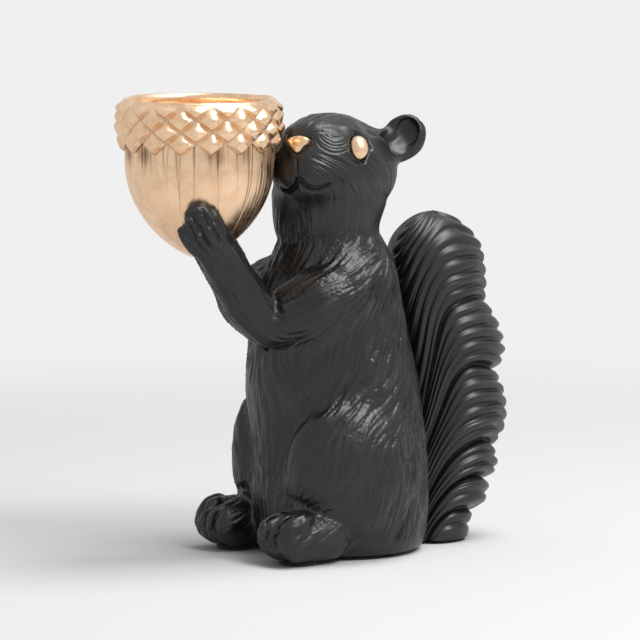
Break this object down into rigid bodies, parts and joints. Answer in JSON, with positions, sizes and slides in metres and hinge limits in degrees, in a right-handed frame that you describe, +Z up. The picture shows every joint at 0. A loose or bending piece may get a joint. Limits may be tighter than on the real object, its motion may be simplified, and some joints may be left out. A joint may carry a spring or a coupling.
{
  "type": "tealight holder",
  "caption": "Seated squirrel figure with a plumed tail that holds up a scaled acorn cup, open at the top for a tealight.",
  "frame": {"origin": "bottom centre of the bounding box, on the surface that the pads stand on", "axes": "+Z up, -Y the way the squirrel sits facing, +X to its left"},
  "size_m": [0.062, 0.1256, 0.1334],
  "materials": {
    "black_resin": "matte black casting resin with carved fur strokes",
    "gold_finish": "casting resin with a satin champagne gold finish and a brown wash in the recesses",
    "felt": "black felt disc"
  },
  "bodies": {
    "root": {"body": "black_resin", "head": "black_resin", "left_foreleg": "black_resin", "right_foreleg": "black_resin", "tail": "black_resin", "nose": "gold_finish", "left_eye": "gold_finish", "right_eye": "gold_finish", "acorn_nut": "gold_finish", "acorn_cap": "gold_finish", "left_foot_pad": "felt", "right_foot_pad": "felt", "tail_pad": "felt"}
  },
  "joints": []
}
